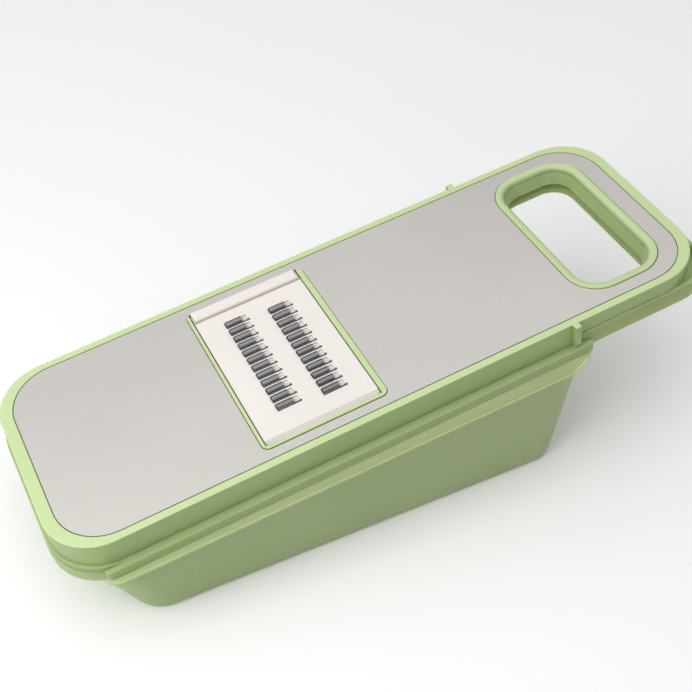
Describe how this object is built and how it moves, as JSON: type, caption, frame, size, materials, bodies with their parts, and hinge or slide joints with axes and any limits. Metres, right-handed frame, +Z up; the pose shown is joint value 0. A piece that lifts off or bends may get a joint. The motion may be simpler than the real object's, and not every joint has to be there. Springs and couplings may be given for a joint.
{
  "type": "vegetable slicer board with container",
  "caption": "Sloping green slicer board with a steel face and a drop-in white grating cartridge, on a drain basket nested in a wedge-shaped container.",
  "frame": {"origin": "on the surface the container stands on, under the middle of the whole object's bounding box", "axes": "+X along the board from its low end to its raised handle end, +Z up, +Y across towards the cartridge's pull bar"},
  "size_m": [0.3488, 0.132, 0.1077],
  "materials": {
    "green_plastic": "satin moulded",
    "ring_plastic": "satin moulded",
    "face_steel": "fine satin",
    "white_plastic": "satin moulded",
    "blade_steel": "pressed, sharpened",
    "basket_plastic": "slightly translucent moulded",
    "container_plastic": "slightly translucent moulded"
  },
  "bodies": {
    "container": {"container": "container_plastic"},
    "drain_basket": {"drain_basket": "basket_plastic"},
    "slicer_board": {"slicer_frame": "green_plastic", "steel_face": "face_steel", "grip_ring": "ring_plastic"},
    "cartridge": {"cartridge_body": "white_plastic", "lower_blade": "blade_steel", "upper_blade": "blade_steel"}
  },
  "joints": [
    {"name": "basket_lift", "type": "slide", "parent": "container", "child": "drain_basket", "axis": [0, 0, 1], "range_m": [0, 0.12]},
    {"name": "board_lift", "type": "slide", "parent": "drain_basket", "child": "slicer_board", "axis": [-0.1426, 0, 0.9898], "range_m": [0, 0.06]},
    {"name": "cartridge_tilt", "type": "hinge", "parent": "slicer_board", "child": "cartridge", "pos_m": [-0.04088, -0.0475, 0.07627], "axis": [0.9898, 0, 0.1426], "range_deg": [0, 30]}
  ]
}
